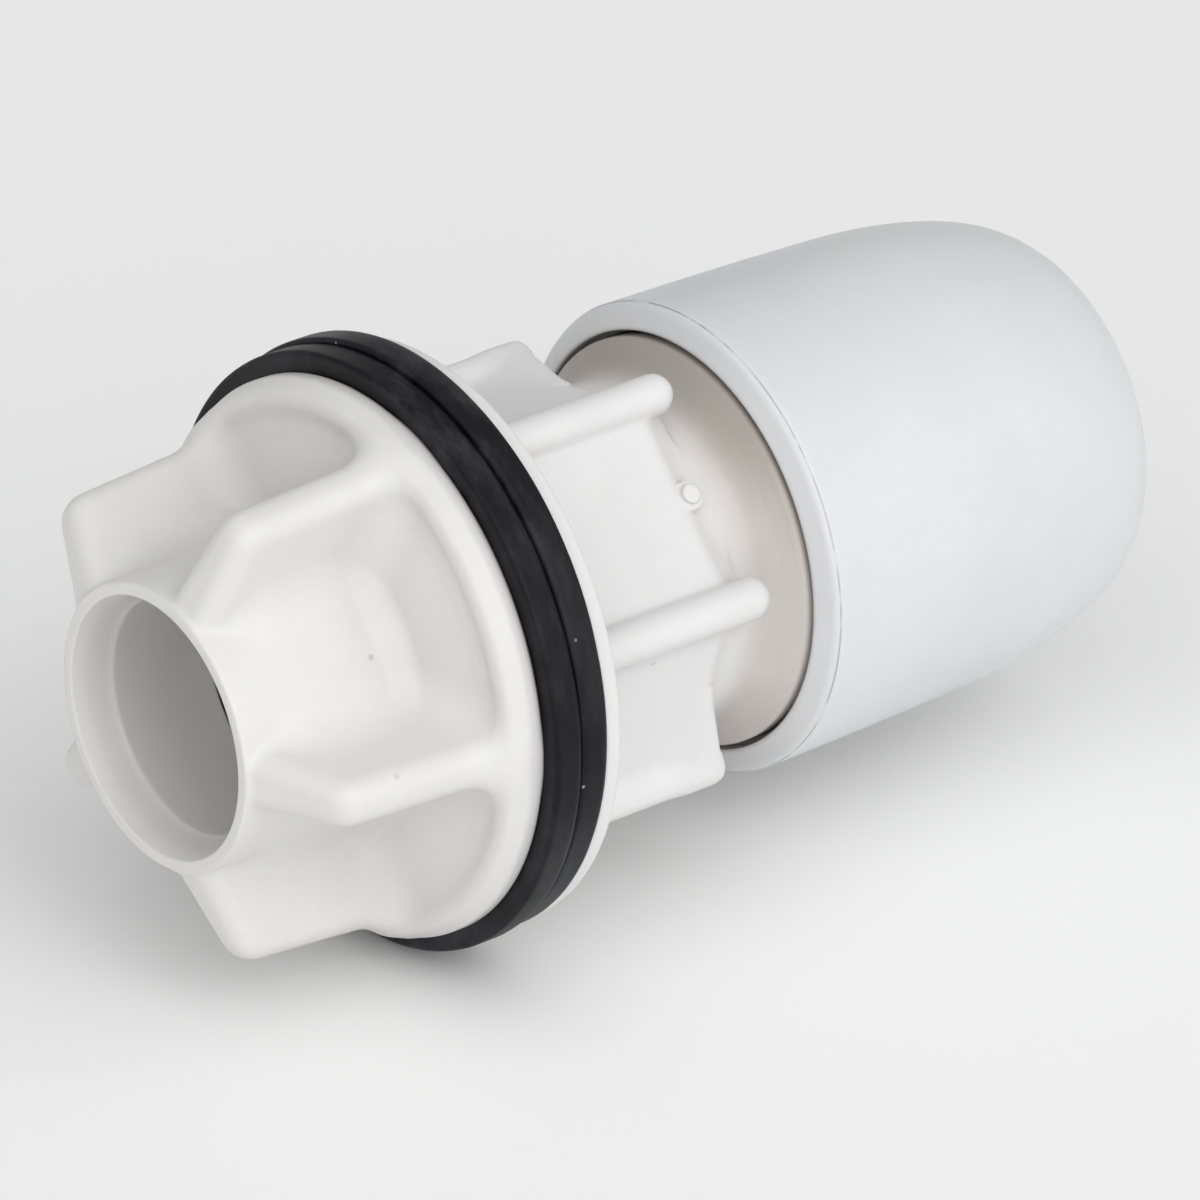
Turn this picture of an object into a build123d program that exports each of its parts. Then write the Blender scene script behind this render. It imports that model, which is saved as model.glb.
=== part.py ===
from build123d import *
import math
import os

os.makedirs("parts", exist_ok=True)

# Push-fit through-hull (bulkhead) connector lying along +X.
# The origin is on the axis, in the seal plane between the two rubber washers, where the hull wall goes.
# The back nut is on the -X side and the bullet-shaped retaining cap on the +X side.  Sizes in mm.

# Rubber washers
washer_thickness = 2.42
washer_radius = 23.6
washer_hole_radius = 11.2
rear_washer_lift = 0.4

# Spigot and back-nut thread: G 1/2 parallel pipe thread, eased for running clearance
spigot_pitch = 25.4 / 14
spigot_root_radius = 9.316
spigot_crest_radius = 10.40
spigot_bore_radius = 7.0
spigot_end = -9.6
nut_root_radius = 10.62
nut_crest_radius = 9.55

# Back nut
nose_rim = -21.75
nose_rim_radius = 11.3
nose_mouth_radius = 10.2
nose_land_depth = 3.05
nose_land_end_radius = 9.5
nose_bore_radius = 9.23
nose_foot = -7.2
nose_foot_radius = 11.9
nut_thread_start = -9.95
nut_flange_radius = 22.0
nut_flange_edge = -3.7
nut_bead_inner_radius = 19.6
nut_bead_front = -4.7
nut_bead_height = 0.45
nut_bead_crest_radius = 20.6
lobe_count = 5
lobe_first_angle = 19.0
lobe_thickness = 3.8
lobe_corner = -18.5
lobe_corner_radius = 19.2
lobe_foot = -6.4
lobe_foot_radius = 20.3
lobe_edge_round = 1.2
lobe_corner_round = 2.4

# Body: flange, hexagonal collar with ribs on its corners, neck, shoulder disc, threaded socket
flange_radius = 23.1
flange_thickness = 1.65
collar_apothem = 15.0
collar_end = 19.7
collar_bevel_length = 1.8
collar_bevel_angle = 30.0
collar_wall = 2.0
rib_count = 6
rib_first_angle = 18.0
rib_radius = 1.6
rib_centre_radius = 17.1
rib_end = 23.2
rib_web_skews = (30.0, -30.0, 0.0)
web_depth = 3.0
web_inset = 0.1
neck_radius = 13.9
neck_end = 23.4
disc_radius = 16.4
disc_front = 27.3
disc_back = 29.0
disc_edge_chamfer = 0.4
flange_edge_round = 0.4
flare_front_drop = 1.0
flare_front_reach = 0.9
flare_neck_reach = 2.0
pip_angle = 47.0
pip_station = 20.6
pip_radius = 0.62
pip_top_radius = 15.35
waterway_taper_start = 6.0
waterway_taper_end = 9.0
waterway_radius = 9.0
pipe_stop = 24.0
socket_radius = 11.15
seal_seat = 39.4
seal_seat_radius = 13.5
socket_mouth = 43.0

# Retaining cap and its thread on the socket
cap_pitch = 2.5
socket_root_radius = 15.1
socket_crest_radius = 16.1
cap_root_radius = 16.45
cap_crest_radius = 15.45
cap_mouth_radius = 16.85
cap_mouth = 27.8
cap_lip = 28.9
cap_lip_radius = 19.0
cap_thread_end = 43.3
cap_straight_end = 48.6
cap_straight_radius = 18.6
cap_shoulder = (57.2, 18.2)
cap_cheek = (63.6, 16.6)
cap_tip = 64.7
cap_tip_radius = 13.7
cap_chamber_radius = 14.7
cap_cone_start = 45.0
cap_cone_end = 54.5
cap_cone_end_radius = 12.3
pipe_entry_radius = 11.2
pipe_entry_chamfer = 0.9

# Seal and grip pieces inside the cap
ring_cord_radius = 1.2
ring_centre_radius = 12.25
spacer_thickness = 1.0
spacer_clearance = 0.1
grab_ring_gap = 0.6
grab_ring_thickness = 0.5
grab_ring_radius = 14.3
grab_ring_bend_radius = 12.6
grab_ring_tip_radius = 11.25
grab_ring_lean = 0.45
grab_ring_tooth_count = 16
grab_ring_slit_centre = 11.9
grab_ring_slit_length = 2.0
grab_ring_slit_width = 0.7
wedge_gap = 0.05
wedge_radius = 14.2
wedge_end_radius = 12.1
wedge_bore_radius = 11.5
wedge_end_clearance = 1.2
wedge_ring_length = 2.5
wedge_slot_count = 8
wedge_slot_width = 0.9

spigot_face = washer_thickness
flange_back = spigot_face + flange_thickness
rib_start = flange_back - 0.5
thread_tip_width = 0.28
spigot_thread_base_width = 1.3
cap_thread_tip_width = 0.6
cap_thread_base_width = 1.3


def axial_plane(angle):
    """Plane holding the axis: local x runs along the axis, local y points out at angle from +Z towards -Y."""
    turn = math.radians(angle)
    return Plane(origin=(0, 0, 0), x_dir=(1, 0, 0), z_dir=(0, -math.cos(turn), -math.sin(turn)))


def helix_ridge(start, length, pitch, base_radius, tip_radius, base_width, tip_width):
    """Solid helical thread ridge about the X axis, with its base sunk slightly into the wall it grows from."""
    sink = 0.15 if tip_radius > base_radius else -0.15
    with BuildPart(mode=Mode.PRIVATE) as ridge:
        with BuildLine() as path:
            Helix(pitch, length, base_radius, center=(start, 0, 0), direction=(1, 0, 0))
        first_point = path.line @ 0
        outward = Vector(0, first_point.Y, first_point.Z).normalized()
        section = Plane(origin=first_point, x_dir=outward, z_dir=path.line % 0)
        height = tip_radius - base_radius
        with BuildSketch(section):
            with BuildLine():
                Polyline(
                    (-sink, -base_width / 2),
                    (height, -tip_width / 2),
                    (height, tip_width / 2),
                    (-sink, base_width / 2),
                    close=True,
                )
            make_face()
        sweep(is_frenet=True)
    return ridge.part


# Rubber washers: plain flat rings, the one on the flange side sitting a little high on its clearance
with BuildPart() as front_washer:
    with BuildSketch(Plane.YZ.offset(-washer_thickness)):
        Circle(washer_radius)
        Circle(washer_hole_radius, mode=Mode.SUBTRACT)
    extrude(amount=washer_thickness)
    fillet(front_washer.edges().filter_by(GeomType.CIRCLE).group_by(SortBy.RADIUS)[-1], 0.25)

with BuildPart() as rear_washer:
    with BuildSketch(Plane.YZ):
        with Locations((0, rear_washer_lift)):
            Circle(washer_radius)
            Circle(washer_hole_radius, mode=Mode.SUBTRACT)
    extrude(amount=washer_thickness)
    fillet(rear_washer.edges().filter_by(GeomType.CIRCLE).group_by(SortBy.RADIUS)[-1], 0.25)

# One grip lobe of the back nut, standing on the nose tube in the +Z direction
with BuildPart() as lobe:
    with BuildSketch(axial_plane(0)):
        with BuildLine():
            Polyline(
                (nose_rim + 0.35, nose_rim_radius - 0.6),
                (nose_rim + 0.35, nose_rim_radius),
                (lobe_corner, lobe_corner_radius),
                (lobe_foot, lobe_foot_radius),
                (nut_flange_edge, lobe_foot_radius),
                (nut_flange_edge, nose_rim_radius - 0.6),
                close=True,
            )
        make_face()
    extrude(amount=lobe_thickness / 2, both=True)
    corner = lobe.edges().filter_by(Axis.Y).sort_by(Axis.X)[2]
    fillet(corner, lobe_corner_round)
    rims = lobe.edges().filter_by(lambda edge: edge.center().Z > nose_foot_radius)
    fillet(rims.filter_by(lambda edge: abs(edge.center().Y) > 0.1), lobe_edge_round)

with BuildPart() as back_nut:
    with BuildSketch(Plane.XY):
        with BuildLine():
            Polyline(
                (nose_rim + nose_land_depth, nose_bore_radius),
                (nose_rim + nose_land_depth, nose_land_end_radius),
                (nose_rim, nose_mouth_radius),
                (nose_rim, nose_rim_radius),
                (nose_foot, nose_foot_radius),
                (nut_bead_front, nut_bead_inner_radius),
                (nut_bead_front - nut_bead_height, nut_bead_crest_radius),
                (nut_flange_edge, nut_flange_radius),
                (-washer_thickness, nut_flange_radius),
                (-washer_thickness, nut_root_radius),
                (nut_thread_start, nut_root_radius),
                (nut_thread_start, nose_bore_radius),
                close=True,
            )
        make_face()
    revolve(axis=Axis.X)
    for index in range(lobe_count):
        add(lobe.part, rotation=(lobe_first_angle + index * 360 / lobe_count, 0, 0))
    add(
        helix_ridge(
            spigot_end + 0.5 * spigot_pitch,
            2.9 * spigot_pitch,
            spigot_pitch,
            nut_root_radius,
            nut_crest_radius,
            spigot_thread_base_width,
            thread_tip_width,
        )
    )

# Hexagonal spanner collar: a hollow prism with its far end bevelled down to the neck
collar_corner_turn = 90 + rib_first_angle
with BuildPart() as collar:
    with BuildSketch(Plane.YZ.offset(flange_back)):
        RegularPolygon(collar_apothem, rib_count, major_radius=False, rotation=collar_corner_turn)
    extrude(amount=collar_end - flange_back)
    with BuildSketch(Plane.YZ.offset(collar_end)):
        RegularPolygon(collar_apothem, rib_count, major_radius=False, rotation=collar_corner_turn)
    extrude(amount=collar_bevel_length, taper=collar_bevel_angle)
    with BuildSketch(Plane.YZ.offset(flange_back)):
        Circle(collar_apothem - collar_wall)
    extrude(amount=neck_end, mode=Mode.SUBTRACT)

# Body: spigot with its thread, flange, hexagonal collar, ribs, neck, shoulder disc and threaded pipe socket
with BuildPart() as body:
    with BuildSketch(Plane.XY):
        with BuildLine():
            outer = Polyline(
                (socket_mouth, seal_seat_radius),
                (socket_mouth, socket_root_radius),
                (disc_back, socket_root_radius),
                (disc_back, disc_radius),
                (disc_front + disc_edge_chamfer, disc_radius),
                (disc_front, disc_radius - disc_edge_chamfer),
            )
            flare = Bezier(
                outer @ 1,
                (disc_front - flare_front_reach, disc_radius - flare_front_drop),
                (neck_end + flare_neck_reach, neck_radius),
                (neck_end, neck_radius),
            )
            Polyline(
                flare @ 1,
                (flange_back, neck_radius),
                (flange_back, flange_radius),
                (spigot_face, flange_radius),
                (spigot_face, spigot_root_radius),
                (spigot_end, spigot_root_radius),
                (spigot_end, spigot_bore_radius),
                (waterway_taper_start, spigot_bore_radius),
                (waterway_taper_end, waterway_radius),
                (pipe_stop, waterway_radius),
                (pipe_stop, socket_radius),
                (seal_seat, socket_radius),
                (seal_seat, seal_seat_radius),
                (socket_mouth, seal_seat_radius),
            )
        make_face()
    revolve(axis=Axis.X)
    rims = body.edges().filter_by(GeomType.CIRCLE).filter_by(lambda edge: edge.radius > flange_radius - 0.01)
    fillet(rims, flange_edge_round)
    add(collar.part)
    # Ribs stand on the collar's corners.  The two on the mould's parting line have a plain web under them.
    # The web of each other rib runs along the pull of its mould half, which is square to the parting line.
    for index in range(rib_count):
        rib_angle = rib_first_angle + index * 360 / rib_count
        turn = math.radians(rib_angle)
        pull_turn = math.radians(rib_angle + rib_web_skews[index % 3])
        across = -rib_centre_radius * math.sin(turn)
        up = rib_centre_radius * math.cos(turn)
        with BuildSketch(Plane(origin=(rib_start, across, up), x_dir=(0, 1, 0), z_dir=(1, 0, 0))):
            Circle(rib_radius)
        extrude(amount=rib_end - rib_radius - rib_start)
        with Locations((rib_end - rib_radius, across, up)):
            Sphere(rib_radius)
        web = Plane(
            origin=(
                rib_start,
                across + web_depth / 2 * math.sin(pull_turn),
                up - web_depth / 2 * math.cos(pull_turn),
            ),
            x_dir=(0, math.cos(pull_turn), math.sin(pull_turn)),
            z_dir=(1, 0, 0),
        )
        with BuildSketch(web):
            Rectangle(2 * rib_radius - web_inset, web_depth)
        extrude(amount=rib_end - rib_radius - rib_start)
    pip_turn = math.radians(pip_angle)
    pip_outward = (0, -math.sin(pip_turn), math.cos(pip_turn))
    pip_seat = Vector(pip_outward) * neck_radius + Vector(pip_station, 0, 0)
    with BuildSketch(Plane(origin=pip_seat, x_dir=(1, 0, 0), z_dir=pip_outward)):
        Circle(pip_radius)
    extrude(amount=pip_top_radius - neck_radius)
    add(
        helix_ridge(
            spigot_end + spigot_pitch,
            5.2 * spigot_pitch,
            spigot_pitch,
            spigot_root_radius,
            spigot_crest_radius,
            spigot_thread_base_width,
            thread_tip_width,
        )
    )
    add(
        helix_ridge(
            disc_back + 0.5 * cap_pitch,
            3.5 * cap_pitch,
            cap_pitch,
            socket_root_radius,
            socket_crest_radius,
            cap_thread_base_width,
            cap_thread_tip_width,
        )
    )

# Bullet-shaped retaining cap: threaded mouth, cone that closes the grip wedge, pipe entry in the end
with BuildPart() as retaining_cap:
    with BuildSketch(Plane.XY):
        with BuildLine():
            side = Polyline(
                (cap_mouth, cap_mouth_radius),
                (cap_lip, cap_lip_radius),
                (cap_straight_end, cap_straight_radius),
            )
            nose = Bezier(
                side @ 1,
                cap_shoulder,
                cap_cheek,
                (cap_tip, cap_tip_radius),
            )
            Polyline(
                nose @ 1,
                (cap_tip, pipe_entry_radius + pipe_entry_chamfer),
                (cap_tip - pipe_entry_chamfer, pipe_entry_radius),
                (cap_cone_end, pipe_entry_radius),
                (cap_cone_end, cap_cone_end_radius),
                (cap_cone_start, cap_chamber_radius),
                (cap_thread_end, cap_chamber_radius),
                (cap_thread_end, cap_root_radius),
                (disc_back + 0.4, cap_root_radius),
                (disc_back, cap_mouth_radius),
                (cap_mouth, cap_mouth_radius),
            )
        make_face()
    revolve(axis=Axis.X)
    add(
        helix_ridge(
            disc_back + 1.0 * cap_pitch,
            3.4 * cap_pitch,
            cap_pitch,
            cap_root_radius,
            cap_crest_radius,
            cap_thread_base_width,
            cap_thread_tip_width,
        )
    )

# O-ring in the seal seat
with BuildPart() as o_ring:
    with BuildSketch(Plane.XY):
        with Locations((seal_seat + ring_cord_radius, ring_centre_radius)):
            Circle(ring_cord_radius)
    revolve(axis=Axis.X)

# Spacer washer between the O-ring and the grab ring, level with the socket's mouth
with BuildPart() as spacer_washer:
    with BuildSketch(Plane.YZ.offset(socket_mouth - spacer_thickness)):
        Circle(seal_seat_radius - spacer_clearance)
        Circle(socket_radius, mode=Mode.SUBTRACT)
    extrude(amount=spacer_thickness)

# Stainless grab ring: a flat band with teeth leaning towards the pipe stop
grab_front = socket_mouth + grab_ring_gap
grab_back = grab_front + grab_ring_thickness
with BuildPart() as grab_ring:
    with BuildSketch(Plane.XY):
        with BuildLine():
            Polyline(
                (grab_front, grab_ring_radius),
                (grab_front, grab_ring_bend_radius),
                (grab_front - grab_ring_lean, grab_ring_tip_radius),
                (grab_back - grab_ring_lean, grab_ring_tip_radius),
                (grab_back, grab_ring_bend_radius),
                (grab_back, grab_ring_radius),
                close=True,
            )
        make_face()
    revolve(axis=Axis.X)
    with BuildSketch(Plane.YZ.offset(socket_mouth)):
        with PolarLocations(grab_ring_slit_centre, grab_ring_tooth_count):
            Rectangle(grab_ring_slit_length, grab_ring_slit_width)
    extrude(amount=2 * grab_ring_gap + grab_ring_thickness, mode=Mode.SUBTRACT)

# Grip wedge: an acetal collar with a conical back, slotted so that it closes on the pipe
wedge_front = grab_back + wedge_gap
wedge_end = cap_cone_end - wedge_end_clearance
with BuildPart() as grip_wedge:
    with BuildSketch(Plane.XY):
        with BuildLine():
            Polyline(
                (wedge_front, wedge_bore_radius),
                (wedge_front, wedge_radius),
                (cap_cone_start, wedge_radius),
                (wedge_end, wedge_end_radius),
                (wedge_end, wedge_bore_radius),
                close=True,
            )
        make_face()
    revolve(axis=Axis.X)
    with BuildSketch(Plane.YZ.offset(wedge_front + wedge_ring_length)):
        with PolarLocations(wedge_radius, wedge_slot_count):
            Rectangle(2 * wedge_radius - 2 * wedge_bore_radius + 1, wedge_slot_width)
    extrude(amount=wedge_end - wedge_front, mode=Mode.SUBTRACT)

pieces = {
    "front_washer": front_washer,
    "rear_washer": rear_washer,
    "back_nut": back_nut,
    "body": body,
    "retaining_cap": retaining_cap,
    "o_ring": o_ring,
    "spacer_washer": spacer_washer,
    "grab_ring": grab_ring,
    "grip_wedge": grip_wedge,
}
for name, piece in pieces.items():
    piece.part.label = name
    export_step(piece.part, f"parts/{name}.step")
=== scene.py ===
import math

import bpy
import numpy as np
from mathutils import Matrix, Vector


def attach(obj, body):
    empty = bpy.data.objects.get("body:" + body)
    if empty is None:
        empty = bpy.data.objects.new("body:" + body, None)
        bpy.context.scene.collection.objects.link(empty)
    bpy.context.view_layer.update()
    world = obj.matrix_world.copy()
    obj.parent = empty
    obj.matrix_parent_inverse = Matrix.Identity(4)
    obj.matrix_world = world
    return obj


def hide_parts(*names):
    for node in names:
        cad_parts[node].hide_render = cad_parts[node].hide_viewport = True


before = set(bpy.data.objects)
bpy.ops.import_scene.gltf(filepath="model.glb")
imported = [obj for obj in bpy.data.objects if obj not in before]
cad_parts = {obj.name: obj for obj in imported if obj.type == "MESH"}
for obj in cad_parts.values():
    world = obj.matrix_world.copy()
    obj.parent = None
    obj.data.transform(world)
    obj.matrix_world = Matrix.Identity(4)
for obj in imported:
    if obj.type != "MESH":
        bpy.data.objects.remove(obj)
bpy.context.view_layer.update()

# The fitting lies along X, with the origin on its axis between the two washers.
# The nut is at -X and the cap at +X.
# Shapes are worked out in mm and brought to metres when their mesh is made.
MM = 0.001


# ---------------------------------------------------------------- camera, light and floor

CAMERA_TURN = math.radians(-39.25)
CAMERA_RISE = math.radians(26.57)
CAMERA_TARGET = Vector((0.02034, -0.00063, -0.00245))
CAMERA_DISTANCE = 0.6673
CAMERA_LENS = 261.05
CAMERA_SENSOR = 36


def make_camera():
    back = Vector((
        math.sin(CAMERA_TURN) * math.cos(CAMERA_RISE),
        -math.cos(CAMERA_TURN) * math.cos(CAMERA_RISE),
        math.sin(CAMERA_RISE),
    ))
    camera = bpy.data.objects.new("camera", bpy.data.cameras.new("camera"))
    camera.data.sensor_width = CAMERA_SENSOR
    camera.data.lens = CAMERA_LENS
    camera.data.clip_start = 0.05
    camera.data.clip_end = 20
    camera.location = CAMERA_TARGET + back * CAMERA_DISTANCE
    camera.rotation_mode = "QUATERNION"
    camera.rotation_quaternion = back.to_track_quat("Z", "Y")
    bpy.context.scene.collection.objects.link(camera)
    bpy.context.scene.camera = camera


def area_light(name, location, target, size, power):
    light = bpy.data.lights.new(name, "AREA")
    light.size = size
    light.energy = power
    holder = bpy.data.objects.new(name, light)
    holder.location = location
    holder.rotation_mode = "QUATERNION"
    holder.rotation_quaternion = (Vector(location) - Vector(target)).to_track_quat("Z", "Y")
    bpy.context.scene.collection.objects.link(holder)


def make_world(bright_side, dim, bright):
    """White surroundings, dim all round and bright towards one side, like a large soft box."""
    world = bpy.data.worlds.new("studio")
    world.use_nodes = True
    nodes, links = world.node_tree.nodes, world.node_tree.links
    direction = nodes.new("ShaderNodeTexCoord").outputs["Generated"]
    toward = nodes.new("ShaderNodeVectorMath")
    toward.operation = "DOT_PRODUCT"
    toward.inputs[1].default_value = Vector(bright_side).normalized()
    links.new(direction, toward.inputs[0])
    level = nodes.new("ShaderNodeMapRange")
    level.interpolation_type = "SMOOTHSTEP"
    for socket, amount in zip(level.inputs[1:5], (-0.1, 0.9, dim, bright)):
        socket.default_value = amount
    links.new(toward.outputs["Value"], level.inputs["Value"])
    nodes["Background"].inputs["Color"].default_value = (1, 1, 1, 1)
    links.new(level.outputs["Result"], nodes["Background"].inputs["Strength"])
    bpy.context.scene.world = world


# ---------------------------------------------------------------- shapes as distances, in mm
# Every field takes x along the axis, the radius r and the turn w about the axis, from +Z towards -Y.
# It is below zero inside the plastic.

ROUND_STEPS = 5
FLANK_SLOPE = 0.75


def smooth_min(a, b, k):
    h = np.clip(0.5 + 0.5 * (b - a) / k, 0, 1)
    return b + (a - b) * h - k * h * (1 - h)


def smooth_max(a, b, k):
    return -smooth_min(-a, -b, k)


def ramp(value, start, end):
    t = np.clip((value - start) / (end - start), 0, 1)
    return t * t * (3 - 2 * t)


def rounded(corners):
    """Points of a closed outline whose corners (x, r, radius) are rounded by that radius."""
    points = []
    count = len(corners)
    for index, (x, r, radius) in enumerate(corners):
        here = np.array((x, r), float)
        if radius <= 0:
            points.append(here)
            continue
        before = np.array(corners[index - 1][:2], float) - here
        after = np.array(corners[(index + 1) % count][:2], float) - here
        before_length, after_length = np.linalg.norm(before), np.linalg.norm(after)
        before, after = before / before_length, after / after_length
        half = math.acos(max(-1.0, min(1.0, float(before @ after)))) / 2
        # no corner takes more than half of either side, and a straight one isn't rounded
        reach = min(radius / math.tan(half), 0.49 * before_length, 0.49 * after_length)
        if reach < 1e-3:
            points.append(here)
            continue
        start, end = here + before * reach, here + after * reach
        for step in range(ROUND_STEPS + 1):
            t = step / ROUND_STEPS
            points.append((1 - t) ** 2 * start + 2 * t * (1 - t) * here + t * t * end)
    return np.array(points)


def bezier(points, steps):
    """Corners along a Bezier curve, without its first point."""
    a, b, c, d = (np.array(point, float) for point in points)
    corners = []
    for step in range(1, steps + 1):
        t = step / steps
        x, r = (1 - t) ** 3 * a + 3 * t * (1 - t) ** 2 * b + 3 * t * t * (1 - t) * c + t ** 3 * d
        corners.append((float(x), float(r), 0))
    return corners


def outline_distance(x, y, points):
    """Signed distance from (x, y) to a closed outline, below zero inside it."""
    nearest = None
    inside = None
    count = len(points)
    for index in range(count):
        ax, ay = points[index]
        bx, by = points[(index + 1) % count]
        ex, ey = bx - ax, by - ay
        px, py = x - ax, y - ay
        t = np.clip((px * ex + py * ey) / (ex * ex + ey * ey), 0, 1)
        squared = (px - t * ex) ** 2 + (py - t * ey) ** 2
        nearest = squared if nearest is None else np.minimum(nearest, squared)
        crosses = ((ay > y) != (by > y)) & (x < ax + (y - ay) * ex / (ey if ey != 0 else 1e-12))
        inside = crosses if inside is None else inside ^ crosses
    distance = np.sqrt(nearest)
    return np.where(inside, -distance, distance)


def all_of(*fields):
    """Where every field is inside."""
    whole = fields[0]
    for field in fields[1:]:
        whole = np.maximum(whole, field)
    return whole


def folded(w, first_angle, count):
    """Turn away from the nearest of count equal directions."""
    share = 2 * math.pi / count
    return (w - math.radians(first_angle) + share / 2) % share - share / 2


def thread_rise(x, w, start, end, height, pitch, base_width, tip_width):
    """How far a right-handed thread ridge stands above its root, faded out over its last half turns."""
    phase = (x - start - pitch * w / (2 * math.pi) + pitch / 2) % pitch - pitch / 2
    centre = x - phase
    flank = (base_width / 2 - np.abs(phase)) / ((base_width - tip_width) / 2)
    fade = np.clip((centre - start) / (0.5 * pitch), 0, 1) * np.clip((end - centre) / (0.5 * pitch), 0, 1)
    return height * np.clip(flank, 0, 1) * fade


def thread_ridge(x, r, rise, root, base, span, outward):
    """The ridge on a wall of radius root, outward (1) or inward (-1), from the radius base within the wall."""
    crest = (outward * (r - root) - rise) * FLANK_SLOPE
    return all_of(crest, outward * (base - r), span[0] - x, x - span[1])


# ---------------------------------------------------------------- meshes from the distances

NUDGE = 0.01
DRAWING_ROUNDS = 3
LONGEST_MOVE = 0.4
LEAST_SLOPE = 0.2


def stations(start, end, step, fine=None):
    """Even stations from start to end, with closer ones through the stretch fine = (from, to, step)."""
    if fine is None:
        return np.arange(start, end + step, step)
    fine_start, fine_end, fine_step = fine
    return np.concatenate([
        np.arange(start, fine_start - 0.5 * fine_step, step),
        np.arange(fine_start, fine_end + 0.5 * fine_step, fine_step),
        np.arange(fine_end + step, end + step, step),
    ])


def turns(count, fine=None):
    """Even turns round the axis, with closer ones through the stretch fine = (from, to, step), in degrees."""
    if fine is None:
        return np.radians(np.arange(count) * 360.0 / count)
    return np.radians(stations(0, 360 - 540 / count, 360 / count, fine))


def around_axis(x, r, w):
    return np.stack([x, -r * np.sin(w), r * np.cos(w)], 1)


def drawn_onto(field, points, step):
    """Points moved along the field's slope until they lie on its surface."""

    def level(p):
        radius = np.hypot(p[:, 1], p[:, 2])
        around = np.arctan2(-p[:, 1], p[:, 2]) % (2 * math.pi)
        return field(p[:, 0], radius, around)

    for _ in range(DRAWING_ROUNDS):
        here = level(points)
        slope = np.stack([
            (level(points + NUDGE * np.eye(3)[n]) - level(points - NUDGE * np.eye(3)[n])) / (2 * NUDGE)
            for n in range(3)
        ], 1)
        move = -here[:, None] * slope / np.maximum((slope ** 2).sum(1), LEAST_SLOPE)[:, None]
        length = np.linalg.norm(move, axis=1, keepdims=True)
        points = points + move * np.minimum(1, LONGEST_MOVE * step / np.maximum(length, 1e-9))
    return points


def cell_points(values, inside, cells):
    """Mean of the places where the surface crosses the edges of each cell, in grid counts."""
    columns = values.shape[2]
    corners = [(i, j, k) for i in (0, 1) for j in (0, 1) for k in (0, 1)]
    at = {c: values[cells[:, 0] + c[0], cells[:, 1] + c[1], (cells[:, 2] + c[2]) % columns] for c in corners}
    total = np.zeros((len(cells), 3))
    hits = np.zeros(len(cells))
    for c in corners:
        for axis in range(3):
            if c[axis]:
                continue
            d = tuple(v + (1 if n == axis else 0) for n, v in enumerate(c))
            crossing = (at[c] < 0) != (at[d] < 0)
            share = np.where(crossing, at[c] / np.where(crossing, at[c] - at[d], 1), 0)
            for n in range(3):
                total[:, n] += np.where(crossing, c[n] + (share if n == axis else 0), 0)
            hits += crossing
    return cells + total / hits[:, None]


def cell_faces(inside, number):
    """One quad for each grid edge that the surface crosses, joining the four cells round it."""
    faces = []

    def add_faces(lower, upper, ring):
        change = lower != upper
        quads = np.stack([corner[change] for corner in ring], 1)
        outward = lower[change]
        faces.append(quads[outward])
        faces.append(quads[~outward][:, ::-1])

    back = np.roll(number, 1, axis=2)
    ahead = np.roll(inside, -1, axis=2)
    add_faces(
        inside[:-1, 1:-1, :], inside[1:, 1:-1, :],
        (back[:, :-1], back[:, 1:], number[:, 1:], number[:, :-1]),
    )
    add_faces(
        inside[1:-1, :-1, :], inside[1:-1, 1:, :],
        (back[:-1], number[:-1], number[1:], back[1:]),
    )
    add_faces(
        inside[1:-1, 1:-1, :], ahead[1:-1, 1:-1, :],
        (number[:-1, :-1], number[1:, :-1], number[1:, 1:], number[:-1, 1:]),
    )
    return np.concatenate(faces)


def surface(name, field, xs, rs, ws):
    """Closed mesh of field = 0, found on a grid that turns about the X axis and then drawn onto the surface."""
    columns = len(ws)
    values = np.broadcast_to(
        field(xs[:, None, None], rs[None, :, None], ws[None, None, :]),
        (len(xs), len(rs), columns),
    )
    inside = values < 0
    full = np.zeros((len(xs) - 1, len(rs) - 1, columns), np.int8)
    for i in (0, 1):
        for j in (0, 1):
            for k in (0, 1):
                full += np.roll(inside, -k, axis=2)[i:len(xs) - 1 + i, j:len(rs) - 1 + j, :]
    active = (full > 0) & (full < 8)
    cells = np.argwhere(active)
    number = np.full(active.shape, -1, np.int32)
    number[active] = np.arange(len(cells))

    place = cell_points(values, inside, cells)
    points = around_axis(
        np.interp(place[:, 0], np.arange(len(xs)), xs),
        np.interp(place[:, 1], np.arange(len(rs)), rs),
        np.interp(place[:, 2], np.arange(columns + 1), np.append(ws, ws[0] + 2 * math.pi)),
    )
    points = drawn_onto(field, points, float(np.median(np.diff(xs))))
    return mesh_object(name, points * MM, cell_faces(inside, number))


def mesh_object(name, points, quads):
    mesh = bpy.data.meshes.new(name)
    mesh.vertices.add(len(points))
    mesh.vertices.foreach_set("co", points.astype(np.float32).ravel())
    mesh.loops.add(quads.size)
    mesh.loops.foreach_set("vertex_index", quads.astype(np.int32).ravel())
    mesh.polygons.add(len(quads))
    mesh.polygons.foreach_set("loop_start", np.arange(len(quads), dtype=np.int32) * 4)
    mesh.polygons.foreach_set("use_smooth", np.ones(len(quads), bool))
    mesh.update(calc_edges=True)
    mesh.validate()
    thing = bpy.data.objects.new(name, mesh)
    bpy.context.scene.collection.objects.link(thing)
    return thing


# ---------------------------------------------------------------- pipe thread of the nut and the spigot

PIPE_THREAD = dict(pitch=25.4 / 14, base_width=1.3, tip_width=0.28)
PIPE_PITCH = PIPE_THREAD["pitch"]
SPIGOT_END = -9.6


# ---------------------------------------------------------------- back nut

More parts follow.
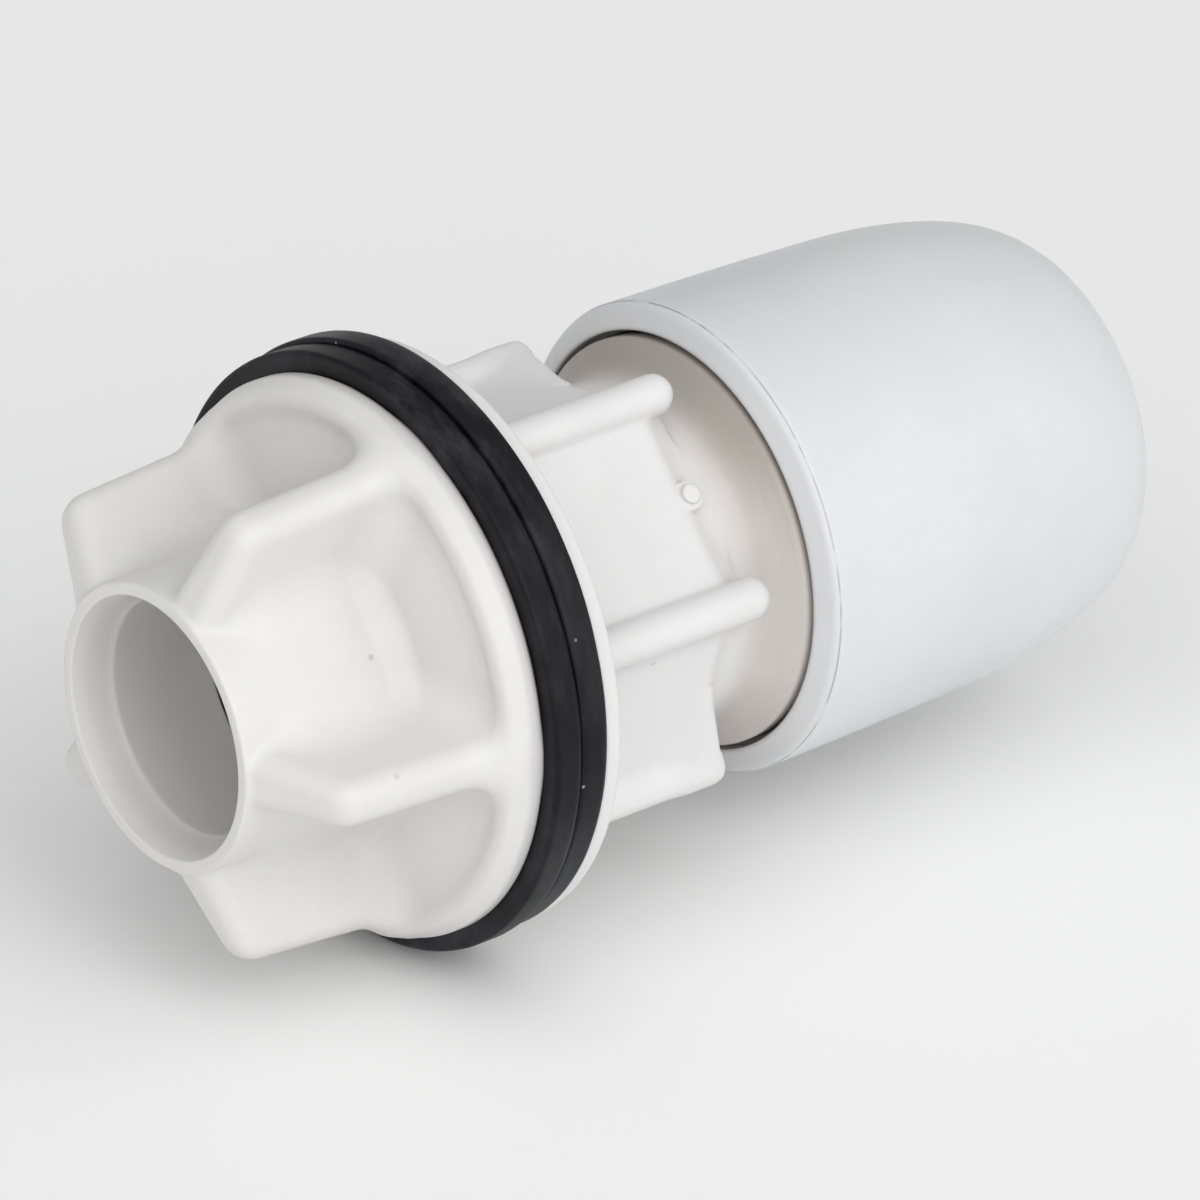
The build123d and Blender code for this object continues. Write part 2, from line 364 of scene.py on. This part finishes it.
NOSE_RIM = -21.75
NOSE_BORE = 9.23
NUT_BACK = -2.43
NUT_FLANGE = 22.0
NUT_LEDGE = -9.63
NUT_THREAD_ROOT = 10.62
NUT_THREAD_HEIGHT = 1.07
LOBE_COUNT = 5
LOBE_FIRST = 19.0
LOBE_HALF = 1.76
LOBE_EDGE = 1.6
LOBE_FOOT_EXTRA = 0.6
LOBE_TAPER_TOP = 19.5
LOBE_TAPER_DEPTH = 9
LOBE_BLEND_TIP = 0.6
LOBE_BLEND_GAIN = 2.8
LOBE_BLEND_START = -21.2
LOBE_BLEND_END = -15.5
NUT_THREAD_BASE = 11.0
NUT_THREAD_END = -2.7
VOID_EDGE = 0.06

nut_outline = rounded([
    (NOSE_RIM, 11.30, 0.22),
    (-8.6, 11.85, 1.2),
    (-6.35, 12.6, 1.2),
    (-4.80, 17.6, 3.0),
    (-4.62, 19.0, 2.2),
    (-5.06, 20.4, 1.2),
    (-4.92, 21.25, 0.8),
    (-3.7, NUT_FLANGE, 0.4),
    (NUT_BACK, NUT_FLANGE, 0.15),
    (NUT_BACK, 9.0, 0),
    (NOSE_RIM, 9.0, 0),
])
nut_void = rounded([
    (-23.0, 6.0, 0),
    (-23.0, 10.75, 0),
    (-21.80, 10.34, 0),
    (-21.74, 10.32, 0.04),
    (-18.70, 9.34, 0.03),
    (-18.64, NOSE_BORE, 0.03),
    (NUT_LEDGE, NOSE_BORE, 0.02),
    (NUT_LEDGE, NUT_THREAD_ROOT, 0.1),
    (-3.1, NUT_THREAD_ROOT, 0.1),
    (-2.3, 11.4, 0),
    (-1.0, 11.4, 0),
    (-1.0, 6.0, 0),
])
lobe_outline = rounded([
    (-21.55, 9.8, 0),
    (-21.45, 11.25, 0.2),
    (-18.6, 19.3, 2.5),
    (-6.0, 20.25, 1.0),
    (-4.6, 20.0, 0.4),
    (-3.2, 19.8, 0),
    (-3.2, 9.8, 0),
])


def nut_field(x, r, w):
    turned = outline_distance(x, r, nut_outline)
    near = folded(w, LOBE_FIRST, LOBE_COUNT)
    out, side = r * np.cos(near), r * np.sin(near)
    # the lobes are thicker at the foot, as moulded plastic is, with their edges rounded all along
    foot = np.clip((LOBE_TAPER_TOP - out) / LOBE_TAPER_DEPTH, 0, 1)
    flat = outline_distance(x, out, lobe_outline) + LOBE_EDGE
    thick = np.abs(side) - (LOBE_HALF + LOBE_FOOT_EXTRA * foot) + LOBE_EDGE
    corner = np.hypot(np.maximum(flat, 0), np.maximum(thick, 0))
    lobe = np.minimum(np.maximum(flat, thick), 0) + corner - LOBE_EDGE
    # and they blend into the nose more and more towards the flange
    growth = ramp(x, LOBE_BLEND_START, LOBE_BLEND_END)
    whole = smooth_min(turned, lobe, LOBE_BLEND_TIP + LOBE_BLEND_GAIN * growth)
    whole = all_of(whole, NOSE_RIM - x, r - NUT_FLANGE)
    solid = smooth_max(whole, -outline_distance(x, r, nut_void), VOID_EDGE)
    start, end = SPIGOT_END + 0.5 * PIPE_PITCH, SPIGOT_END + 3.4 * PIPE_PITCH
    rise = thread_rise(x, w, start, end, NUT_THREAD_HEIGHT, **PIPE_THREAD)
    span = (SPIGOT_END, NUT_THREAD_END)
    return np.minimum(solid, thread_ridge(x, r, rise, NUT_THREAD_ROOT, NUT_THREAD_BASE, span, -1))


# ---------------------------------------------------------------- body

SPIGOT_ROOT = 9.316
SPIGOT_BORE = 7.0
SPIGOT_THREAD_HEIGHT = 1.084
SPIGOT_THREAD_BASE = 8.6
SPIGOT_THREAD_SPAN = (-9.5, 2.6)
FLANGE_FRONT = 2.43
FLANGE_BACK = 4.07
FLANGE_RADIUS = 23.1
SOCKET_END = 43.0
SOCKET_START = 29.0
SOCKET_RADIUS = 15.1
DISC_RADIUS = 16.4
CAP_THREAD = dict(pitch=2.5, base_width=1.3, tip_width=0.6)
CAP_THREAD_HEIGHT = 1.0
SOCKET_THREAD_BASE = 14.4
SOCKET_THREAD_SPAN = (SOCKET_START, 42.7)

COLLAR_HALF = 15.0
COLLAR_EDGE = 0.35
COLLAR_START = 3.0
COLLAR_LIMIT = 22.6
COLLAR_ROOT = 12.2
COLLAR_BLEND = 0.7
BEVEL_START = 19.75
BEVEL_SLOPE = 0.62
BEVEL_SCALE = 0.85

RIB_COUNT = 6
RIB_FIRST = 18.0
RIB_CENTRE = 17.1
RIB_RADIUS = 1.6
RIB_END = 21.6
WEB_SKEWS = (30.0, -30.0, 0.0)
WEB_HALF = 1.58
WEB_DEPTH = 3.6
WEB_END = 22.4
WEB_SLANT = 0.35
WEB_BLEND = 0.25
RIB_START = 3.5
RIB_ROOT = 12.6
RIB_BLEND = 0.45
PARTING_BLEND = 0.35

ROOF_START = 15.0
ROOF_LEVEL = 19.9
ROOF_END = 22.9
ROOF_PEAK = 19.45
ROOF_RIDGE = 18.62
ROOF_ROOT = 13.0
ROOF_FALL = 0.6
ROOF_SLOPE = 0.86
ROOF_SLOPE_SCALE = 0.76
ROOF_END_SLANT = 0.34
ROOF_END_SCALE = 0.9
ROOF_RIDGE_ROUND = 0.6
ROOF_ROUND = 0.8

PIP_TURN = math.radians(46.7)
PIP_STATION = 20.65
PIP_RADIUS = 0.78
PIP_TOP = 15.42
PIP_SEAT_RADIUS = 1.22
PIP_SEAT_TOP = 14.95
PIP_ROOT = 12.6

body_outline = rounded([
    (SOCKET_END, 13.5, 0.15),
    (SOCKET_END, SOCKET_RADIUS, 0.3),
    (SOCKET_START, SOCKET_RADIUS, 0),
    (SOCKET_START, DISC_RADIUS, 0.1),
    (27.62, DISC_RADIUS, 0.15),
    (27.3, 15.98, 0.3),
    (26.5, 15.2, 1.6),
    (24.7, 13.95, 1.8),
    (22.0, 13.85, 0),
    (FLANGE_BACK, 13.9, 0.9),
    (FLANGE_BACK, FLANGE_RADIUS, 0.32),
    (FLANGE_FRONT, FLANGE_RADIUS, 0.25),
    (FLANGE_FRONT, SPIGOT_ROOT, 0),
    (SPIGOT_END, SPIGOT_ROOT, 0.03),
    (SPIGOT_END, SPIGOT_BORE, 0.5),
    (6.0, SPIGOT_BORE, 0.5),
    (9.0, 9.0, 0.5),
    (24.0, 9.0, 0.1),
    (24.0, 11.15, 0.1),
    (39.4, 11.15, 0.15),
    (39.4, 13.5, 0.1),
])


def collar_field(x, r, w):
    """The hexagonal collar, bevelled down to the neck at its far end."""
    near = folded(w, RIB_FIRST + 180 / RIB_COUNT, RIB_COUNT)
    out = r * np.cos(near)
    flat = out - COLLAR_HALF
    bevel = (out - COLLAR_HALF + (x - BEVEL_START) * BEVEL_SLOPE) * BEVEL_SCALE
    return all_of(smooth_max(flat, bevel, COLLAR_EDGE), x - COLLAR_LIMIT, COLLAR_START - x, COLLAR_ROOT - r)


def rib_field(x, r, w):
    """The ribs on the collar's corners, and where they are on the mould's parting line (1) or not (0)."""
    corner = folded(w, RIB_FIRST, RIB_COUNT)
    out, side = r * np.cos(corner), r * np.sin(corner)
    number = np.round((w - corner - math.radians(RIB_FIRST)) / math.radians(360 / RIB_COUNT)).astype(int)
    which = number % len(WEB_SKEWS)
    parting = (which == 2).astype(float)
    along = np.maximum(x - RIB_END, 0)
    rod = np.sqrt((out - RIB_CENTRE) ** 2 + side ** 2 + along ** 2) - RIB_RADIUS
    # each web lies along the pull of the mould half that formed it
    skew = np.radians(np.array(WEB_SKEWS))[which]
    down = -(out - RIB_CENTRE) * np.cos(skew) - side * np.sin(skew)
    across = np.abs(-(out - RIB_CENTRE) * np.sin(skew) + side * np.cos(skew))
    web_end = x - WEB_END + WEB_SLANT * np.maximum(down, 0)
    web = all_of(across - WEB_HALF, -down, down - WEB_DEPTH, web_end)
    rib = smooth_min(rod, web, WEB_BLEND)
    # on the parting line the rib spreads into a low roof towards the collar's end
    lowered = ROOF_FALL * np.maximum(ROOF_LEVEL - x, 0)
    roof = (out + ROOF_SLOPE * np.abs(side) - ROOF_PEAK + lowered) * ROOF_SLOPE_SCALE
    roof = smooth_max(roof, out - ROOF_RIDGE, ROOF_RIDGE_ROUND)
    roof_end = (x - ROOF_END + ROOF_END_SLANT * np.abs(side)) * ROOF_END_SCALE
    roof = smooth_max(roof, roof_end, ROOF_ROUND)
    roof = all_of(roof, ROOF_START - x, ROOF_ROOT - r)
    rib = np.where(parting > 0, smooth_min(rib, roof, ROOF_ROUND), rib)
    return all_of(rib, RIB_START - x, RIB_ROOT - r), parting


def with_pip(whole, x, r, w):
    """Adds the ejector pip, which stands on a low round seat."""
    side = r * np.sin(w - PIP_TURN)
    out = r * np.cos(w - PIP_TURN)
    reach = np.hypot(x - PIP_STATION, side)
    pip = smooth_max(reach - PIP_RADIUS, out - PIP_TOP, 0.12)
    seat = smooth_max(reach - PIP_SEAT_RADIUS, out - PIP_SEAT_TOP, 0.1)
    pip = all_of(np.minimum(pip, seat), PIP_ROOT - out)
    return np.where(out > 0, smooth_min(whole, pip, 0.08), whole)


def body_field(x, r, w):
    whole = smooth_min(outline_distance(x, r, body_outline), collar_field(x, r, w), COLLAR_BLEND)
    ribs, parting = rib_field(x, r, w)
    whole = smooth_min(whole, ribs, RIB_BLEND + PARTING_BLEND * parting)
    whole = with_pip(whole, x, r, w)
    start, end = SPIGOT_END + PIPE_PITCH, SPIGOT_END + 6.2 * PIPE_PITCH
    rise = thread_rise(x, w, start, end, SPIGOT_THREAD_HEIGHT, **PIPE_THREAD)
    ridge = thread_ridge(x, r, rise, SPIGOT_ROOT, SPIGOT_THREAD_BASE, SPIGOT_THREAD_SPAN, 1)
    whole = np.minimum(whole, ridge)
    rise = thread_rise(x, w, SOCKET_START + 1.25, SOCKET_START + 10.0, CAP_THREAD_HEIGHT, **CAP_THREAD)
    ridge = thread_ridge(x, r, rise, SOCKET_RADIUS, SOCKET_THREAD_BASE, SOCKET_THREAD_SPAN, 1)
    return np.minimum(whole, ridge)


# ---------------------------------------------------------------- retaining cap

CAP_END = 64.7
CAP_ENTRY = 11.2
CAP_ROOT = 16.45
CAP_THREAD_BASE = 16.9
CAP_THREAD_SPAN = (29.5, 43.2)

cap_outline = rounded([
    (27.85, 16.86, 0.12),
    (27.95, 17.25, 0.25),
    (28.62, 18.72, 0.35),
    (29.1, 18.97, 0.3),
    (35.25, 18.87, 0),
    (42.85, 18.72, 0),
    *bezier(((48.6, 18.58), (57.2, 18.2), (63.6, 16.6), (64.66, 13.75)), 12),
    (CAP_END, 13.2, 0),
    (CAP_END, 12.15, 0.2),
    (63.8, CAP_ENTRY, 0.3),
    (54.5, CAP_ENTRY, 0.1),
    (54.5, 12.3, 0.1),
    (45.0, 14.7, 0.2),
    (43.3, 14.7, 0.1),
    (43.3, CAP_ROOT, 0.1),
    (29.4, CAP_ROOT, 0.1),
    (29.0, 16.85, 0.1),
])


def cap_field(x, r, w):
    turned = outline_distance(x, r, cap_outline)
    rise = thread_rise(x, w, SOCKET_START + 2.5, SOCKET_START + 11.0, CAP_THREAD_HEIGHT, **CAP_THREAD)
    return np.minimum(turned, thread_ridge(x, r, rise, CAP_ROOT, CAP_THREAD_BASE, CAP_THREAD_SPAN, -1))


# ---------------------------------------------------------------- washers

WASHER_HOLE = 11.2
WASHER_RADIUS = 23.57
WASHER_GAP = 0.02
WASHER_FACE = 2.41
REAR_LIFT = 0.4


def washer_field(front, back, lift, seed):
    outline = rounded([
        (front, WASHER_HOLE, 0.12),
        (back, WASHER_HOLE, 0.12),
        (back, WASHER_RADIUS, 0.3),
        (front, WASHER_RADIUS, 0.3),
    ])

    def field(x, r, w):
        y, z = -r * np.sin(w), r * np.cos(w) - lift
        off_centre = np.hypot(y, z)
        around = np.arctan2(-y, z)
        # cut rubber is never quite round
        ripple = 0.012 * np.sin(3 * around + seed) + 0.008 * np.sin(11 * around + 2 * seed)
        return outline_distance(x, off_centre + ripple + 0 * x, outline)

    return field


# ---------------------------------------------------------------- materials

# colour of the painted shade in the plastic's hollows
PAINTED_HOLLOW_SHADE = (0.27, 0.235, 0.205)
FLECK = (0.40, 0.37, 0.35)
# painted shade on the neck and shoulder disc by the cap, and darker still on their top
SHOULDER_SHADE = (0.52, 0.475, 0.44)
SHOULDER_TOP_SHADE = (0.31, 0.275, 0.24)
# painted shade inside the nut's bore, slightly warm
BORE_SHADE = (0.56, 0.53, 0.50)
MOULD_LINE = (0.22, 0.21, 0.20)
CAP_SCUFF = (0.60, 0.60, 0.615)
CAP_CLOUD = (0.72, 0.72, 0.725)
# grey of the rubber's scuffs and of its painted sheen
RUBBER_SCUFF_AND_SHEEN = (0.040, 0.040, 0.045)
RUBBER_SPECK = (0.55, 0.54, 0.53)


class Paint:
    """Small helper that strings shader nodes together. Its lengths are in metres."""

    def __init__(self, name):
        self.material = bpy.data.materials.new(name)
        self.material.use_nodes = True
        self.tree = self.material.node_tree
        self.shader = self.tree.nodes["Principled BSDF"]
        self.place = self.node("ShaderNodeTexCoord").outputs["Object"]

    def node(self, kind, **inputs):
        made = self.tree.nodes.new(kind)
        for key, value in inputs.items():
            self.put(made.inputs[key.replace("_", " ")], value)
        return made

    def put(self, socket, value):
        if isinstance(value, bpy.types.NodeSocket):
            self.tree.links.new(value, socket)
        else:
            socket.default_value = value

    def noise(self, scale, detail=3.0, roughness=0.55, stretch=None):
        place = self.place
        if stretch:
            mapping = self.node("ShaderNodeMapping")
            mapping.inputs["Scale"].default_value = stretch
            self.put(mapping.inputs["Vector"], place)
            place = mapping.outputs["Vector"]
        made = self.node("ShaderNodeTexNoise", Scale=scale, Detail=detail, Roughness=roughness)
        self.put(made.inputs["Vector"], place)
        return made.outputs["Fac"]

    def scattered(self, scale):
        """Distance to the nearest of many scattered points."""
        made = self.node("ShaderNodeTexVoronoi", Scale=scale)
        self.put(made.inputs["Vector"], self.place)
        return made.outputs["Distance"]

    def hollows(self, reach, samples):
        """1 on open surfaces, falling towards 0 down in hollows."""
        made = self.node("ShaderNodeAmbientOcclusion", Distance=reach)
        made.samples = samples
        return made.outputs["AO"]

    def spread(self, value, low, high, to_low=0.0, to_high=1.0):
        """The value eased from to_low to to_high as it goes from low to high."""
        made = self.node("ShaderNodeMapRange")
        made.interpolation_type = "SMOOTHSTEP"
        made.clamp = True
        for socket, amount in zip(made.inputs[1:5], (low, high, to_low, to_high)):
            socket.default_value = amount
        self.put(made.inputs["Value"], value)
        return made.outputs["Result"]

    def math(self, operation, a, b=0.0):
        made = self.node("ShaderNodeMath")
        made.operation = operation
        self.put(made.inputs[0], a)
        self.put(made.inputs[1], b)
        return made.outputs["Value"]

    def both(self, a, b):
        return self.math("MULTIPLY", a, b)

    def mix(self, share, a, b):
        made = self.node("ShaderNodeMix")
        made.data_type = "RGBA"
        self.put(made.inputs["Factor"], share)
        self.put(made.inputs[6], a if isinstance(a, bpy.types.NodeSocket) else (*a, 1))
        self.put(made.inputs[7], b if isinstance(b, bpy.types.NodeSocket) else (*b, 1))
        return made.outputs[2]

    def along(self, axis):
        made = self.node("ShaderNodeSeparateXYZ")
        self.put(made.inputs[0], self.place)
        return made.outputs[axis]

    def radius(self):
        y, z = self.along("Y"), self.along("Z")
        return self.math("SQRT", self.math("ADD", self.both(y, y), self.both(z, z)))

    def bump(self, height, distance, strength, under=None):
        made = self.node("ShaderNodeBump", Strength=strength, Distance=distance)
        self.put(made.inputs["Height"], height)
        if under is not None:
            self.put(made.inputs["Normal"], under)
        return made.outputs["Normal"]


def white_plastic(name, base, shade, roughness, flecks, hollow_shade, extra, inner=False):
    """Moulded white plastic, clouded and flecked with dust, with painted shade in its hollows."""
    p = Paint(name)
    colour = p.mix(p.spread(p.noise(55, 3), 0.35, 0.7), base, shade)
    grain = p.spread(p.noise(1500, 2), 0.35, 0.65, 0.0, 0.1)
    colour = p.mix(grain, colour, tuple(0.93 * level for level in shade))
    # dust flecks and small dents from handling
    dots = p.spread(p.scattered(330), 0.055, 0.10, 1.0, 0.0)
    sparse = p.spread(p.noise(160, 1), 0.62, 0.68)
    colour = p.mix(p.both(p.both(dots, sparse), flecks), colour, FLECK)
    colour = extra(p, colour)
    # painted shade darkens the hollows, found by ambient occlusion, and is stronger towards the top
    painted_shade = p.spread(p.hollows(0.012, 10), 0.12, 0.80, hollow_shade, 0.0)
    painted_shade = p.both(painted_shade, p.spread(p.along("Z"), -0.002, 0.010, 0.25, 1.0))
    if inner:
        painted_shade = p.both(painted_shade, p.spread(inner_side(p), 0.0, 1.0, 1.0, 0.35))
    p.put(p.shader.inputs["Base Color"], p.mix(painted_shade, colour, PAINTED_HOLLOW_SHADE))
    # scuffs run along the axis and are a little rougher
    scuffs = p.spread(p.noise(120, 4, 0.6, (0.35, 1.6, 1.6)), 0.5, 0.75)
    rough = p.spread(scuffs, 0, 1, roughness, roughness + 0.12)
    p.put(p.shader.inputs["Roughness"], p.math("ADD", rough, p.spread(p.noise(900, 2), 0.3, 0.7, -0.03, 0.03)))
    p.shader.inputs["IOR"].default_value = 1.47
    p.shader.inputs["Subsurface Weight"].default_value = 0.12
    p.shader.inputs["Subsurface Scale"].default_value = 0.0015
    p.shader.inputs["Subsurface Radius"].default_value = (1.0, 0.9, 0.8)
    skin = p.bump(p.noise(2600, 2), 0.00002, 0.25)
    sink = p.bump(p.noise(95, 2), 0.00025, 0.30, skin)
    p.put(p.shader.inputs["Normal"], p.bump(dots, 0.00004, 0.25, sink))
    return p.material


def inner_side(p):
    """1 inside the nut's bore, 0 on its outside."""
    return p.spread(p.radius(), 0.00955, 0.0103, 1.0, 0.0)


def nose_bore_shade(p, colour):
    """Inside the nose the plastic is painted darker and slightly warm: painted shade in the bore."""
    return p.mix(p.both(p.spread(inner_side(p), 0.0, 1.0), 0.55), colour, BORE_SHADE)


def shaded_shoulder(p, colour):
    """The neck and shoulder disc are painted darker and warmer by the cap, as painted shade, most of all on
    top.
    """
    x = p.along("X")
    # painted shade, darker and warmer, on the neck and disc next to the cap
    near = p.both(p.spread(x, 0.0215, 0.0255), p.spread(p.noise(90, 3), 0.25, 0.65, 0.6, 1.0))
    colour = p.mix(p.both(near, 0.85), colour, SHOULDER_SHADE)
    # more painted shade on the top of the disc
    top = p.both(p.spread(x, 0.0240, 0.0262), p.spread(p.along("Z"), 0.002, 0.014))
    return p.mix(p.both(top, 0.75), colour, SHOULDER_TOP_SHADE)


def cap_marks(p, colour):
    """A fine mould line round the lip's outer corner, and long pale and grey scuffs down the cap."""
    x = p.along("X")
    line = p.both(p.spread(x, 0.02888, 0.02893), p.spread(x, 0.02900, 0.02905, 1.0, 0.0))
    line = p.both(line, p.spread(p.noise(320, 3), 0.38, 0.55, 0.15, 0.75))
    colour = p.mix(line, colour, MOULD_LINE)
    scuff = p.spread(p.noise(70, 5, 0.7, (0.3, 1.5, 1.5)), 0.56, 0.74, 0.0, 0.45)
    colour = p.mix(scuff, colour, CAP_SCUFF)
    cloud = p.spread(p.noise(38, 2), 0.40, 0.64, 0.0, 0.35)
    return p.mix(cloud, colour, CAP_CLOUD)


def rubber(name, base):
    """Black rubber, scuffed grey and dotted with dust; the scuffs are strongest in an upright band, where they
    also stand for a painted grey sheen.
    """
    p = Paint(name)
    scuff = p.noise(140, 5, 0.65, (2.2, 0.8, 0.8))
    y = p.along("Y")
    # scuffs, strongest in an upright band near Y = -5 mm, where they also make a painted grey sheen
    scuff_and_sheen_band = p.both(p.spread(y, -0.021, -0.006, 0.35, 1.0), p.spread(y, -0.004, 0.010, 1.0, 0.35))
    colour = p.mix(p.both(p.spread(scuff, 0.42, 0.68), scuff_and_sheen_band), base, RUBBER_SCUFF_AND_SHEEN)
    specks = p.both(p.spread(p.scattered(620), 0.05, 0.10, 1.0, 0.0), p.spread(p.noise(220, 1), 0.60, 0.66))
    colour = p.mix(p.both(specks, 0.6), colour, RUBBER_SPECK)
    p.put(p.shader.inputs["Base Color"], colour)
    p.put(p.shader.inputs["Roughness"], p.spread(p.noise(80, 3), 0.3, 0.7, 0.36, 0.52))
    p.shader.inputs["IOR"].default_value = 1.45
    p.shader.inputs["Specular IOR Level"].default_value = 0.22
    skin = p.bump(p.noise(1500, 3), 0.00003, 0.5)
    p.put(p.shader.inputs["Normal"], p.bump(scuff, 0.00006, 0.4, skin))
    return p.material


def acetal(name):
    p = Paint(name)
    colour = p.mix(p.spread(p.noise(180, 3), 0.35, 0.7), (0.74, 0.72, 0.67), (0.66, 0.64, 0.59))
    p.put(p.shader.inputs["Base Color"], colour)
    p.put(p.shader.inputs["Roughness"], p.spread(p.noise(600, 2), 0.3, 0.7, 0.34, 0.46))
    p.put(p.shader.inputs["Normal"], p.bump(p.noise(1800, 2), 0.00002, 0.4))
    return p.material


def stainless(name):
    p = Paint(name)
    colour = p.mix(p.spread(p.noise(260, 3), 0.35, 0.7), (0.60, 0.59, 0.57), (0.50, 0.49, 0.48))
    p.put(p.shader.inputs["Base Color"], colour)
    p.shader.inputs["Metallic"].default_value = 1.0
    p.put(p.shader.inputs["Roughness"], p.spread(p.noise(900, 2, 0.5, (1, 0.2, 1)), 0.3, 0.7, 0.24, 0.42))
    p.put(p.shader.inputs["Normal"], p.bump(p.noise(1400, 2, 0.5, (1, 0.15, 1)), 0.00002, 0.4))
    return p.material


def floor_material():
    p = Paint("studio_floor")
    p.put(p.shader.inputs["Base Color"], p.mix(p.noise(3, 2), (0.93, 0.93, 0.93), (0.96, 0.96, 0.96)))
    p.shader.inputs["Roughness"].default_value = 0.9
    p.shader.inputs["Specular IOR Level"].default_value = 0.1
    return p.material


# ---------------------------------------------------------------- the pieces, each in place of its CAD node

def dress(piece, body, node, material):
    piece.data.materials.clear()
    piece.data.materials.append(material)
    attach(piece, body)
    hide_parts(node)


def make_nut():
    # the grid is closer where the nose's rim and its edges are
    piece = surface(
        "nut_shell", nut_field,
        stations(-22.2, -1.9, 0.33, (-21.9, -21.3, 0.12)),
        stations(8.6, 22.6, 0.33, (9.9, 11.6, 0.14)),
        turns(360),
    )
    material = white_plastic(
        "nut_white", (0.715, 0.71, 0.705), (0.68, 0.675, 0.67), 0.42,
        flecks=0.5, hollow_shade=0.8, extra=nose_bore_shade, inner=True,
    )
    dress(piece, "back_nut", "back_nut", material)


def make_body():
    # the grid is closer round the ejector pip
    piece = surface(
        "body_shell", body_field,
        stations(-10.1, 43.6, 0.40, (19.3, 21.9, 0.15)),
        stations(6.5, 23.6, 0.38, (13.8, 15.8, 0.19)),
        turns(312, (43.1, 50.3, 0.45)),
    )
    material = white_plastic(
        "body_white", (0.75, 0.745, 0.745), (0.71, 0.705, 0.705), 0.42,
        flecks=0.5, hollow_shade=0.6, extra=shaded_shoulder,
    )
    dress(piece, "body", "body", material)


def make_cap():
    piece = surface("cap_shell", cap_field, stations(27.3, 65.3, 0.33), stations(10.6, 19.5, 0.33), turns(320))
    material = white_plastic(
        "cap_white", (0.685, 0.69, 0.70), (0.65, 0.655, 0.67), 0.34,
        flecks=0.3, hollow_shade=0.3, extra=cap_marks,
    )
    dress(piece, "retaining_cap", "retaining_cap", material)


def make_washers():
    front = surface(
        "front_washer_ring", washer_field(-WASHER_FACE, -WASHER_GAP, 0.0, 1.0),
        stations(-2.9, 0.45, 0.24), stations(10.7, 24.1, 0.24), turns(360),
    )
    dress(front, "front_washer", "front_washer", rubber("front_rubber", (0.0045, 0.0045, 0.006)))
    # the rear washer sits a little high on the spigot
    rear = surface(
        "rear_washer_ring", washer_field(WASHER_GAP, WASHER_FACE, REAR_LIFT, 2.3),
        stations(-0.45, 2.9, 0.24), stations(10.4, 24.5, 0.24), turns(360),
    )
    dress(rear, "body", "rear_washer", rubber("rear_rubber", (0.005, 0.005, 0.007)))


def paint_inner_parts():
    """The CAD's own shapes are right for the parts inside the cap, and only need their materials."""
    finishes = {
        "o_ring": rubber("seal_black", (0.02, 0.02, 0.021)),
        "spacer_washer": acetal("spacer_acetal"),
        "grip_wedge": acetal("wedge_acetal"),
        "grab_ring": stainless("grab_steel"),
    }
    for name, material in finishes.items():
        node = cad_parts[name]
        node.data.materials.clear()
        node.data.materials.append(material)


def make_floor(half_size, height):
    ring = [(-1, -1), (1, -1), (1, 1), (-1, 1)]
    corners = np.array([(half_size * a, half_size * b, height) for a, b in ring])
    floor = mesh_object("floor", corners, np.array([[0, 1, 2, 3]]))
    floor.data.materials.append(floor_material())


make_camera()
make_world(bright_side=(-0.34, -0.88, 0.28), dim=0.44, bright=1.42)
area_light("key", location=(-0.05, -0.55, 0.40), target=(0.02, 0, 0), size=0.35, power=0.6)
bpy.context.scene.view_settings.view_transform = "Standard"

make_nut()
make_body()
make_cap()
make_washers()
paint_inner_parts()
make_floor(half_size=3.0, height=-0.0240)
